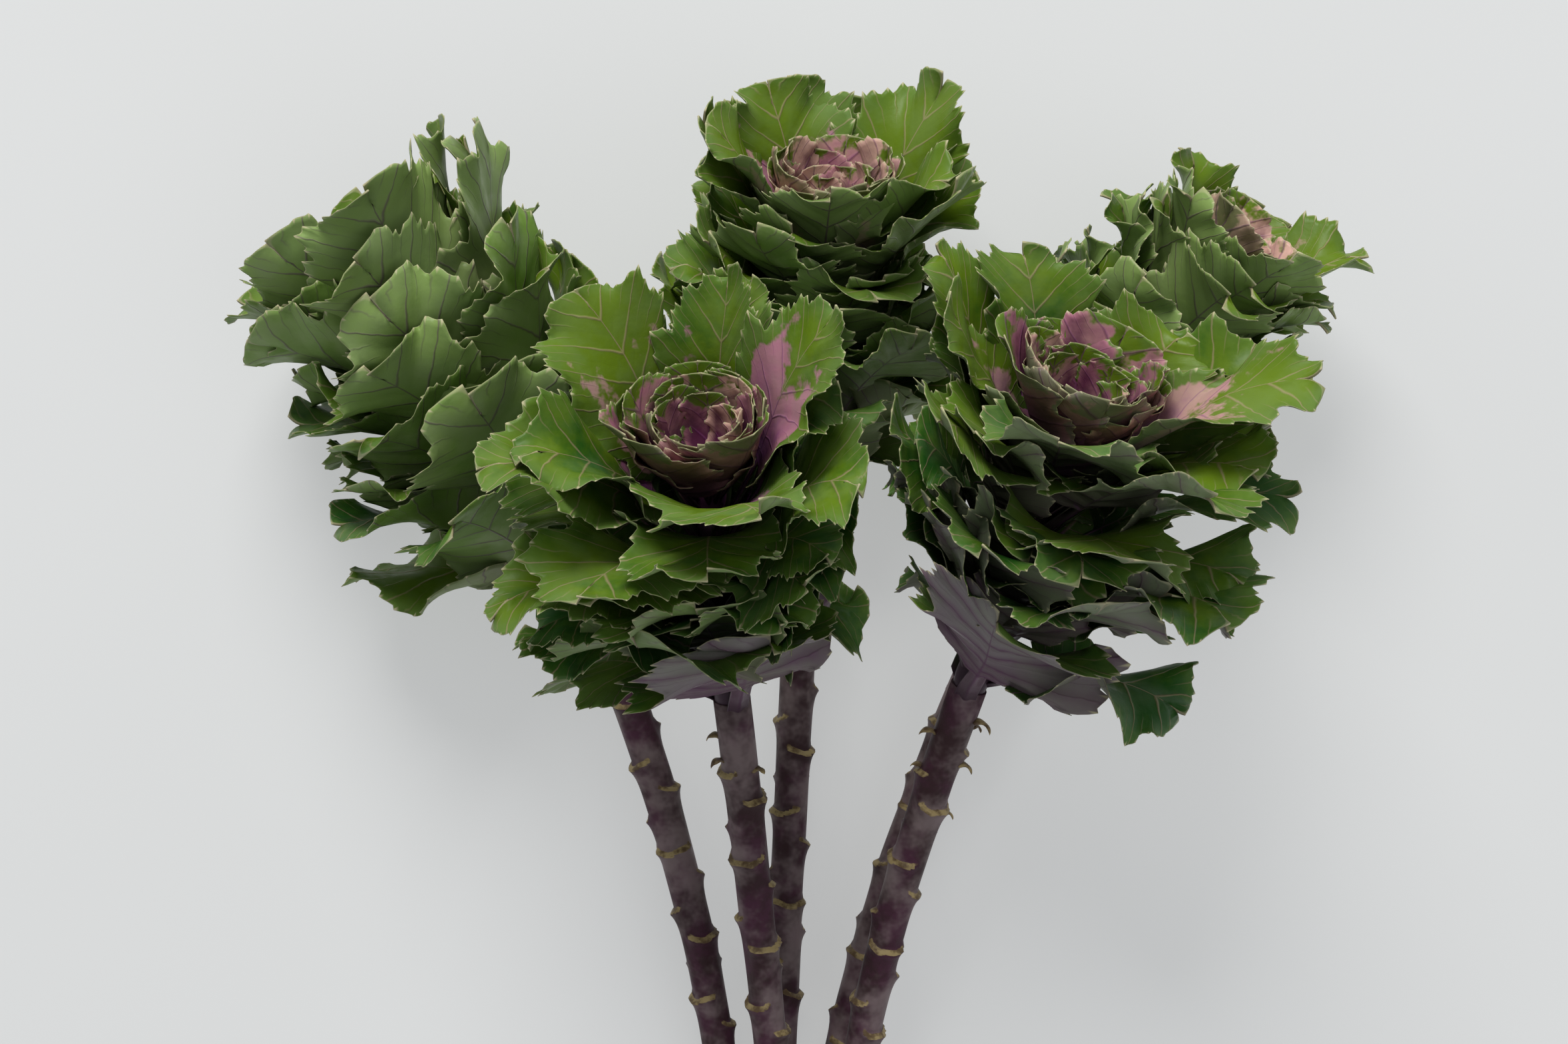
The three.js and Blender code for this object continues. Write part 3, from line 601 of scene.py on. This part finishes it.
def stubShell(path, height, turn, reach):
    # a flat stalk that tapers, leaves the stem and curls down
    share = np.linspace(0, 1, stubForm["rings"])
    rounds = np.linspace(0, 2 * math.pi, stubForm["sides"], endpoint=False)
    point, tangent, side, back = path.frameAt(height)
    out = side * math.cos(turn) + back * math.sin(turn)
    across = np.cross(out, tangent)
    bend = np.linspace(*stubForm["bend"], stubForm["rings"])[:, None]
    step = reach / stubForm["rings"]
    foot = point + out * (head["neckRadius"] - stubForm["sunk"])
    middles = foot + step * np.cumsum(np.cos(bend) * out + np.sin(bend) * tangent, axis=0)
    faceWay = np.cos(bend) * tangent - np.sin(bend) * out
    half = stubForm["half"] * (1 - share) ** 0.6 * (1 + 0.25 * np.sin(9 * share + turn)) + stubForm["point"]
    half[0] = stubForm["point"]
    wide, thick = half[:, None] * across, stubForm["flatness"] * half[:, None] * faceWay
    turned = np.cos(rounds)[:, None] * wide[:, None] + np.sin(rounds)[:, None] * thick[:, None]
    points = middles[:, None] + turned
    return tubeFaces(points, {"scar": 0.55 + 0.25 * share[:, None], "cut": 0})


def buildStem(name, plant):
    # rings of points along the spine, stepped at each leaf scar
    path = plant["path"]
    length = path.neck + stem["intoHead"]
    scars = int((path.neck - 1 - stem["first"]) // stem["pitch"])
    lips = stem["first"] + stem["pitch"] * np.arange(scars)
    rise = stem["rise"]
    places = list(stem["foot"])
    for lip in lips:
        places += [lip] + [lip + step * rise if step <= 1 else lip + step for step in stem["steps"]]
    heights = np.array([height for height in places if height < length] + [length])
    heights = np.concatenate([[0, 0, 0], heights, [length, length]])
    turns = np.linspace(0, 2 * math.pi, stem["sides"], endpoint=False)
    height, turn = np.meshgrid(heights, turns, indexing="ij")
    plain = stem["radius"] + (head["neckRadius"] - stem["radius"]) * height / path.neck
    bumps = np.zeros_like(height)
    scarMask = np.zeros_like(height)
    for number, lip in enumerate(lips):
        around = np.angle(np.exp(1j * (turn - math.radians(plant["turn"]) - number * goldenAngle)))
        near = smooth(stem["spread"] + 0.25, stem["spread"] - 0.35, np.abs(around) * np.ones_like(height))
        wobble = stem["wobble"] * np.sin(5 * turn + 3 * number)
        above = height - lip - stem["sag"] * ((around / stem["spread"]) ** 2 - 0.3) - wobble
        ramp = np.where(above < 0, np.exp(above / stem["swell"]), (1 - above / rise).clip(0))
        bumps = np.maximum(bumps, near * ramp)
        onStep = smooth(-0.5, 0.1, above) * smooth(rise * 1.05, rise * 0.6, above)
        scarMask = np.maximum(scarMask, near * onStep)
    ripple = sum(size * np.sin(waves * turn + height / long) for size, waves, long in stem["ripples"])
    radius = plain + stem["lip"] * bumps + ripple
    cut = np.zeros_like(height)
    for row, (share, paleness) in enumerate(stem["cutRings"]):
        radius[row] *= share
        cut[row] = paleness
    radius[-1] *= stem["cutRings"][0][0]
    point, tangent, side, back = path.frameAt(height)
    points = point + side * (radius * np.cos(turn))[..., None] + back * (radius * np.sin(turn))[..., None]
    points[0] += tangent[0] * stem["cutHollow"]
    if not name.startswith("upper"):
        points[..., 2] = points[..., 2].clip(0)
    values = {"scar": scarMask, "cut": cut}
    parts = [tubeFaces(points, values)]
    for below, degrees, reach in stubs.get(name, ()):
        parts.append(stubShell(path, path.neck - below, math.radians(degrees), reach))
    piece = buildMesh(f"stem_of_{name}", parts)
    piece.data.materials.append(materials["stem"])
    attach(piece, "root")
    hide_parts(f"stem_{name}")


def fill(tree, node, inputs):
    # an input's value may be another node's output, and a colour is three numbers
    for key, value in inputs.items():
        socket = node.inputs[key]
        if isinstance(value, bpy.types.NodeSocket):
            tree.links.new(value, socket)
        else:
            socket.default_value = (*value, 1) if isinstance(value, tuple) else value
    return node


def place(tree, kind, inputs, **settings):
    node = tree.nodes.new(kind)
    for key, value in settings.items():
        setattr(node, key, value)
    return fill(tree, node, inputs)


def reckon(tree, operation, *values, clamp=False):
    node = place(tree, "ShaderNodeMath", dict(enumerate(values)), operation=operation, use_clamp=clamp)
    return node.outputs[0]


def band(tree, value, low, high, start=0.0, end=1.0):
    # a smooth ramp from start to end as the value passes from low to high
    inputs = {"Value": value, "From Min": low, "From Max": high, "To Min": start, "To Max": end}
    node = place(tree, "ShaderNodeMapRange", inputs, interpolation_type="SMOOTHSTEP")
    return node.outputs["Result"]


def blend(tree, share, first, second):
    # from the first colour to the second
    return place(tree, "ShaderNodeMix", {0: share, 6: first, 7: second}, data_type="RGBA").outputs[2]


def attributeOf(tree, name):
    return place(tree, "ShaderNodeAttribute", {}, attribute_name=name).outputs["Fac"]


def noise(tree, scale, detail=2.0, roughness=0.55):
    vector = place(tree, "ShaderNodeTexCoord", {}).outputs["Object"]
    inputs = {"Vector": vector, "Scale": scale, "Detail": detail, "Roughness": roughness}
    return place(tree, "ShaderNodeTexNoise", inputs).outputs["Fac"]


def makeGroup(name, inputs, outputs):
    group = bpy.data.node_groups.new(name, "ShaderNodeTree")
    for label in inputs:
        group.interface.new_socket(label, in_out="INPUT", socket_type="NodeSocketFloat")
    for label in outputs:
        group.interface.new_socket(label, in_out="OUTPUT", socket_type="NodeSocketFloat")
    return group, group.nodes.new("NodeGroupInput"), group.nodes.new("NodeGroupOutput")


def times(tree, first, second):
    return reckon(tree, "MULTIPLY", first, second)


def addShare(tree, value, other, factor, clamp=False):
    # a value plus a share of another
    return reckon(tree, "MULTIPLY_ADD", other, factor, value, clamp=clamp)


def centred(tree, value):
    return reckon(tree, "SUBTRACT", value, 0.5)


veinForm = {
    "wander": 0.3, "wanderScale": 70,
    "width": (0.075, 0.028),    # of a side vein at the midrib and near the edge, in steps from vein to vein
    "finePerVein": 3, "fineWidth": 0.07, "fineStrength": 0.5,
    "fineFrom": (0.45, 0.8),    # how far out the fine veins start and are whole
    "ribTip": 0.3,              # the midrib's width at its tip, as a share of that at the base
}


def veinGroup():
    # Veins leave the midrib and run to the lobes, and fork near the edge.
    # The lengths are millimetres from the midrib or from the edge.
    form = veinForm
    tree, given, result = makeGroup(
        "leaf veins",
        ["Along", "Across", "Half Width", "Stalk", "Count", "Rib", "Vein Width"],
        ["Veins", "Swell", "Share", "Side", "From Edge"],
    )
    value = given.outputs
    side = reckon(tree, "ABSOLUTE", value["Across"])
    bladeLength = reckon(tree, "SUBTRACT", 1, value["Stalk"])
    fromStalk = reckon(tree, "SUBTRACT", value["Along"], value["Stalk"])
    share = reckon(tree, "DIVIDE", fromStalk, bladeLength, clamp=True)
    fromRib = times(tree, side, value["Half Width"])
    fromEdge = reckon(tree, "SUBTRACT", value["Half Width"], fromRib)
    wander = centred(tree, noise(tree, form["wanderScale"]))
    beat = addShare(tree, times(tree, share, value["Count"]), wander, form["wander"])
    toVein = reckon(tree, "ABSOLUTE", centred(tree, reckon(tree, "FRACT", beat)))
    width = times(tree, band(tree, side, 0, 0.8, *form["width"]), value["Vein Width"])
    main = reckon(tree, "SUBTRACT", 1, reckon(tree, "DIVIDE", toVein, width), clamp=True)
    finer = reckon(tree, "FRACT", times(tree, beat, form["finePerVein"]))
    toFine = reckon(tree, "ABSOLUTE", centred(tree, finer))
    fine = reckon(tree, "SUBTRACT", 1, reckon(tree, "DIVIDE", toFine, form["fineWidth"]), clamp=True)
    fine = times(tree, fine, band(tree, side, *form["fineFrom"], 0, form["fineStrength"]))
    reach = times(tree, value["Rib"], band(tree, share, 0, 1, 1, form["ribTip"]))
    midrib = reckon(tree, "SUBTRACT", 1.3, reckon(tree, "DIVIDE", fromRib, reach), clamp=True)
    veins = reckon(tree, "MAXIMUM", midrib, reckon(tree, "MAXIMUM", main, fine))
    swell = times(tree, toVein, 2)
    fill(tree, result, {"Veins": veins, "Swell": swell, "Share": share, "Side": side, "From Edge": fromEdge})
    return tree


def bloomGroup():
    # the pale wax that dulls leaves and stems, rubbed off in patches
    tree, given, result = makeGroup("waxy bloom", ["Amount"], ["Bloom"])
    patches = band(tree, noise(tree, 38, 4, 0.65), 0.4, 0.64)
    fill(tree, result, {"Bloom": times(tree, patches, given.outputs["Amount"])})
    return tree


def bloomOn(tree, look, groups):
    inputs = {"Amount": look["waxAmount"]}
    return place(tree, "ShaderNodeGroup", inputs, node_tree=groups["bloom"]).outputs["Bloom"]


# stalk, rib, veinCount and veinWidth are the veins' own, and rib and marginWidth are millimetres
# young, old, deep and rimGreen: the greens of young and old leaves, a near-black painted shade at a leaf's
# base deep in the rosette, and the green of a leaf's outer part
# patch...: the pink above, deep purple at the base, which in the heart is darker still as painted shade in
# its hollow. patchFrom and patchReach: the ages between which it spreads, and how far
# under...: the underside, which is dusk where a plant or its apron is grey below, with painted shade beside
# its veins as in the folds of pleats
leafLook = {
    "stalk": 0.26, "veinCount": 7.0, "rib": 1.0, "veinWidth": 1.0,
    "young": (0.115, 0.19, 0.008), "old": (0.016, 0.085, 0.01), "youngFrom": (0.05, 0.75),
    # deep is no green of the leaf but painted shade, where a leaf's base lies deep among the others
    "deep": (0.004, 0.016, 0.006), "rimGreen": (0.085, 0.165, 0.028),
    "vein": (0.38, 0.27, 0.17), "baseVein": (0.24, 0.07, 0.22), "veinShare": 0.64,
    "patch": (0.43, 0.18, 0.25), "patchPale": (0.5, 0.29, 0.26),
    "patchDeep": (0.25, 0.05, 0.25), "baseFrom": 0.6, "baseTo": 0.15,
    "patchFrom": (0.45, 0.85), "patchReach": (-0.12, 0.95), "patchEdge": (-0.02, 0.07),
    "patchNoise": 0.5, "patchGrain": 0.38, "patchTint": 0.12,
    "under": (0.13, 0.235, 0.035), "underYoung": (0.21, 0.31, 0.085), "dusk": (0.21, 0.185, 0.185),
    "underVein": (0.12, 0.05, 0.1), "underBase": (0.13, 0.06, 0.1), "underVeinShare": 0.7, "underPatch": 0.5,
    "margin": (0.5, 0.46, 0.28), "marginWidth": 0.28,
    "wax": (0.21, 0.3, 0.14), "waxAmount": 0.16, "roughness": (0.36, 0.6), "gloss": 0.16,
    "cloudScale": 55, "blotchScale": 140, "bump": 0.4, "pleats": 3.0,
    "core": (0.05, 0.026, 0.04),
}
heartLook = {
    **leafLook,
    "stalk": 0.19, "veinCount": 5.0, "veinWidth": 1.7,
    "vein": (0.2, 0.05, 0.16), "baseVein": (0.2, 0.05, 0.16),
    "patch": (0.5, 0.2, 0.27), "patchPale": (0.68, 0.42, 0.34),
    # the heart's dark patchDeep is partly its own purple and partly painted shade in the heart's hollow
    "patchDeep": (0.1, 0.016, 0.06), "baseFrom": 1.0, "baseTo": 0.5,
    "patchFrom": (0.6, 0.8), "patchReach": (0.72, 0.9), "patchNoise": 0.6,
    "under": (0.14, 0.12, 0.065), "underYoung": (0.14, 0.14, 0.06), "underPatch": 0.6,
    "waxAmount": 0.08, "roughness": (0.36, 0.5),
    "core": (0.1, 0.03, 0.08),
}
stemLook = {
    "skin": (0.036, 0.016, 0.018), "flush": (0.066, 0.021, 0.04),
    "scar": (0.34, 0.26, 0.12), "scarOld": (0.11, 0.07, 0.035),
    "pith": (0.55, 0.57, 0.36), "rind": (0.2, 0.22, 0.1),
    "wax": (0.27, 0.21, 0.205), "waxAmount": 0.6, "roughness": 0.5, "gloss": 0.16,
    "streakScale": 55, "corkScale": 210, "raggedScale": 420, "grainScale": 300, "bump": 0.5,
}
bumpDepth = 0.6 * mm


def startMaterial(name, roughness, gloss):
    material = bpy.data.materials.new(name)
    material.use_nodes = True
    tree = material.node_tree
    shader = tree.nodes["Principled BSDF"]
    return material, tree, fill(tree, shader, {"Roughness": roughness, "Specular IOR Level": gloss})


def finishMaterial(tree, shader, inputs, height, strength):
    bump = place(tree, "ShaderNodeBump", {"Height": height, "Strength": strength, "Distance": bumpDepth})
    fill(tree, shader, {**inputs, "Normal": bump.outputs["Normal"]})


def bladeInputs(tree, look, groups):
    # what a blade's colours go by: the leaf's own values, its veins and two noises
    seen = {key: attributeOf(tree, key) for key in ("age", "tint", "face", "dusk", "tooth", "core")}
    along, across, half = (attributeOf(tree, key) for key in ("along", "across", "half"))
    inputs = {"Along": along, "Across": across, "Half Width": half}
    inputs.update({"Stalk": look["stalk"], "Count": look["veinCount"]})
    inputs.update({"Rib": look["rib"], "Vein Width": look["veinWidth"]})
    veins = place(tree, "ShaderNodeGroup", inputs, node_tree=groups["veins"])
    for key, output in zip(("line", "swell", "share", "side", "fromEdge"), veins.outputs):
        seen[key] = output
    seen["ownTint"] = centred(tree, seen["tint"])
    seen["cloud"] = centred(tree, noise(tree, look["cloudScale"], 4, 0.6))
    seen["blotch"] = centred(tree, noise(tree, look["blotchScale"], 3, 0.6))
    return seen


def youthOf(tree, seen):
    # how young a green looks: by age, the leaf's own tint and clouds, and the lowest leaves yellow
    youth = addShare(tree, seen["age"], seen["ownTint"], 0.5)
    youth = addShare(tree, youth, seen["cloud"], 1.3)
    return reckon(tree, "ADD", youth, band(tree, seen["age"], 0.14, 0.02, 0, 0.5))


def patchOf(tree, look, seen):
    # the pink patches reach from the base to a ragged line that depends on the leaf's age
    outer = reckon(tree, "MAXIMUM", seen["share"], times(tree, seen["side"], 0.9))
    ragged = addShare(tree, outer, seen["cloud"], look["patchNoise"])
    ragged = addShare(tree, ragged, seen["blotch"], look["patchGrain"])
    limit = band(tree, seen["age"], *look["patchFrom"], *look["patchReach"])
    limit = addShare(tree, limit, seen["ownTint"], look["patchTint"])
    patch = band(tree, reckon(tree, "SUBTRACT", limit, ragged), *look["patchEdge"])
    pale = band(tree, reckon(tree, "ADD", seen["cloud"], seen["tint"]), 0.35, 0.85)
    colour = blend(tree, pale, look["patch"], look["patchPale"])
    # towards the base the pink turns to patchDeep: a deep purple, which in the heart is also painted shade
    deep = band(tree, addShare(tree, outer, seen["blotch"], 0.4), look["baseFrom"], look["baseTo"])
    return patch, blend(tree, deep, colour, look["patchDeep"])


def upperSide(tree, look, seen, youth, patch, patchColour):
    green = blend(tree, band(tree, youth, *look["youngFrom"]), look["old"], look["young"])
    # painted shade: towards its base, deep in the rosette, the leaf is darkened to near-black
    green = blend(tree, band(tree, seen["share"], 0.55, 0.0, 0, 0.85), green, look["deep"])
    towardEdge = band(tree, reckon(tree, "ADD", seen["side"], seen["cloud"]), 0.5, 1.1, 0, 0.6)
    green = blend(tree, towardEdge, green, look["rimGreen"])
    top = blend(tree, patch, green, patchColour)
    purple = reckon(tree, "MAXIMUM", patch, band(tree, seen["share"], 0.6, 0.1))
    veinColour = blend(tree, purple, look["vein"], look["baseVein"])
    return blend(tree, times(tree, seen["line"], look["veinShare"]), top, veinColour)


def lowerSide(tree, look, seen, youth, patch, patchColour):
    under = blend(tree, band(tree, youth, 0.2, 0.8), look["under"], look["underYoung"])
    grey = addShare(tree, seen["dusk"], seen["cloud"], 0.6, clamp=True)
    under = blend(tree, grey, under, look["dusk"])
    under = blend(tree, band(tree, seen["share"], 0.75, 0.0, 0, 0.7), under, look["underBase"])
    # painted shade: beside the veins the grey underside is darkened with the veins' colour, as in the folds
    # of pleats
    paintedPleatShade = times(tree, seen["dusk"], band(tree, seen["swell"], 0.55, 0.0, 0, 0.55))
    under = blend(tree, paintedPleatShade, under, look["underVein"])
    under = blend(tree, times(tree, patch, look["underPatch"]), under, patchColour)
    line = times(tree, seen["line"], look["underVeinShare"])
    return blend(tree, line, under, look["underVein"])


def paleRim(tree, look, seen):
    # the margin, palest at the teeth's tips, and none on the stalk
    margin = band(tree, seen["fromEdge"], look["marginWidth"], 0.1, 0, 0.4)
    rim = reckon(tree, "MAXIMUM", margin, band(tree, seen["tooth"], 0.72, 0.95))
    return times(tree, rim, band(tree, seen["share"], 0, 0.06))


def bladeRelief(tree, look, seen):
    # sunken veins, a fine grain, and pleats between the veins, which are strong on grey undersides
    height = addShare(tree, times(tree, seen["blotch"], 0.9), seen["line"], -0.8)
    pleats = times(tree, seen["dusk"], reckon(tree, "SUBTRACT", 1, seen["face"]))
    pleats = times(tree, seen["swell"], reckon(tree, "ADD", pleats, 0.2))
    return addShare(tree, height, pleats, look["pleats"])


def makeBladeMaterial(name, look, groups):
    # green above with pale veins, pink to purple patches near the heart, and grey-purple below
    material, tree, shader = startMaterial(name, look["roughness"][0], look["gloss"])
    seen = bladeInputs(tree, look, groups)
    youth = youthOf(tree, seen)
    patch, patchColour = patchOf(tree, look, seen)
    top = upperSide(tree, look, seen, youth, patch, patchColour)
    under = lowerSide(tree, look, seen, youth, patch, patchColour)
    colour = blend(tree, seen["face"], under, top)
    wax = bloomOn(tree, look, groups)
    colour = blend(tree, wax, colour, look["wax"])
    colour = blend(tree, paleRim(tree, look, seen), colour, look["margin"])
    colour = blend(tree, seen["core"], colour, look["core"])
    rough = band(tree, wax, 0, look["waxAmount"], *look["roughness"])
    inputs = {"Base Color": colour, "Roughness": rough}
    finishMaterial(tree, shader, inputs, bladeRelief(tree, look, seen), look["bump"])
    return material


def makeStemMaterial(groups):
    # dark purple bark under a grey bloom, with pale corky scars and a green cut end
    look = stemLook
    material, tree, shader = startMaterial("kale stem", look["roughness"], look["gloss"])
    scar, cut = (attributeOf(tree, name) for name in ("scar", "cut"))
    streak = noise(tree, look["streakScale"], 5, 0.65)
    colour = blend(tree, band(tree, streak, 0.4, 0.65), look["skin"], look["flush"])
    colour = blend(tree, bloomOn(tree, look, groups), colour, look["wax"])
    old = band(tree, noise(tree, look["corkScale"], 4), 0.4, 0.62)
    cork = blend(tree, old, look["scar"], look["scarOld"])
    ragged = addShare(tree, scar, centred(tree, noise(tree, look["raggedScale"], 3)), 0.9)
    colour = blend(tree, band(tree, ragged, 0.4, 0.65), colour, cork)
    pith = blend(tree, band(tree, cut, 0.7, 0.95), look["rind"], look["pith"])
    colour = blend(tree, band(tree, cut, 0.1, 0.5), colour, pith)
    grain = times(tree, noise(tree, look["grainScale"], 4), 0.7)
    height = addShare(tree, grain, streak, 0.6)
    finishMaterial(tree, shader, {"Base Color": colour}, height, look["bump"])
    return material


studio = {
    "photoWidth": 2355,             # of the picture's frame, in pixels
    "cameraHeight": 1230,           # above the surface
    "pixel": 0.2463,                # millimetres, at the upper heads
    "headsHeight": 130,
    "floor": (0.3, 0.304, 0.303),
    "floorGlow": 1.33,              # the floor is a lit sheet, which keeps the shadows pale
    "floorReach": 4,                # metres to each side
    "floorDrop": 0.0005,            # so that the lowest leaves lie clear of it
    "key": {"at": (-0.5, 2.8, 2.3), "size": 1.9, "power": 118, "colour": (1, 0.99, 0.97)},
    "fill": {"at": (0.9, -0.3, 1.5), "size": 1.8, "power": 3, "colour": (0.95, 0.97, 1)},
    "lampsAim": (0, 0.1, 0.05),
    "sky": 0.42,
    "skyColour": (0.92, 0.95, 1),
}


def placeCamera(scene):
    # straight above, as wide as the photo at the height of the upper heads
    wide = studio["photoWidth"] * studio["pixel"]
    far = studio["cameraHeight"] - studio["headsHeight"]
    x, y = (-value for value in bunch["middle"])
    data = bpy.data.cameras.new("camera")
    data.sensor_fit = "HORIZONTAL"
    data.angle = 2 * math.atan(wide / 2 / far)
    camera = bpy.data.objects.new("camera", data)
    camera.location = (x * mm, y * mm, studio["cameraHeight"] * mm)
    scene.collection.objects.link(camera)
    scene.camera = camera


def layFloor(scene):
    material, tree, shader = startMaterial("pale floor", 0.8, 0.5)
    colour = studio["floor"]
    paler = tuple(value * 1.04 for value in colour)
    mottled = blend(tree, band(tree, noise(tree, 3, 2), 0.3, 0.7), colour, paler)
    glow = {"Emission Color": colour, "Emission Strength": studio["floorGlow"]}
    fill(tree, shader, {"Base Color": mottled, **glow})
    mesh = bpy.data.meshes.new("floor")
    far = studio["floorReach"]
    mesh.from_pydata([(-far, -far, 0), (far, -far, 0), (far, far, 0), (-far, far, 0)], [], [(0, 1, 2, 3)])
    mesh.materials.append(material)
    floor = bpy.data.objects.new("floor", mesh)
    floor.location.z = -studio["floorDrop"]
    scene.collection.objects.link(floor)


def hangLamp(scene, name):
    look = studio[name]
    light = bpy.data.lights.new(name, "AREA")
    light.shape = "DISK"
    light.size = look["size"]
    light.energy = look["power"]
    light.color = look["colour"]
    lamp = bpy.data.objects.new(name, light)
    lamp.location = look["at"]
    lamp.rotation_euler = (Vector(studio["lampsAim"]) - lamp.location).to_track_quat("-Z", "Y").to_euler()
    scene.collection.objects.link(lamp)


def buildStudio():
    scene = bpy.context.scene
    placeCamera(scene)
    layFloor(scene)
    for name in ("key", "fill"):
        hangLamp(scene, name)
    world = bpy.data.worlds.new("soft room")
    world.use_nodes = True
    sky = world.node_tree.nodes["Background"]
    fill(world.node_tree, sky, {"Color": studio["skyColour"], "Strength": studio["sky"]})
    scene.world = world
    scene.view_settings.view_transform = "Standard"


buildStudio()
print("camera, floor and lights placed")
groups = {"veins": veinGroup(), "bloom": bloomGroup()}
materials = {
    "leaf": makeBladeMaterial("kale leaf", leafLook, groups),
    "heart": makeBladeMaterial("kale heart", heartLook, groups),
    "stem": makeStemMaterial(groups),
}
print("materials made")
prepare()
for plantName, plantData in bunch["plants"].items():
    buildStem(plantName, plantData)
    buildHead(plantName, plantData)
    print("built", plantName)
